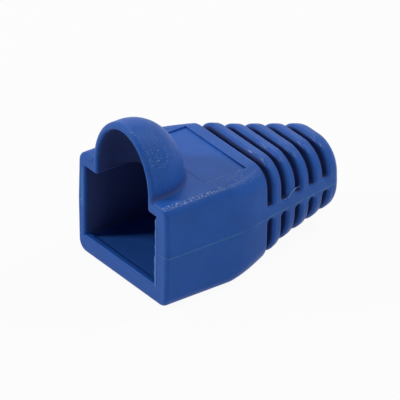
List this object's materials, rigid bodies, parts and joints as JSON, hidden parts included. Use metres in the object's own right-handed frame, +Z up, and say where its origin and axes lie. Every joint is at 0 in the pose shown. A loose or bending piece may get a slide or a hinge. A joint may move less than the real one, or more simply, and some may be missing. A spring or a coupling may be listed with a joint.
{
  "type": "strain relief boot",
  "caption": "Soft moulded boot for a modular plug: open plug cavity, dome over the latch and a slotted tapering tail with a cable bore.",
  "frame": {"origin": "centre of the footprint, on the flat underside", "axes": "+Y from the plug mouth to the cable end, +Z up to the dome, +X across the boot to the right of one who looks along +Y"},
  "size_m": [0.0148, 0.0236, 0.017],
  "materials": {
    "soft_plastic": "satin, fine grain"
  },
  "bodies": {
    "root": {"boot": "soft_plastic"}
  },
  "joints": []
}
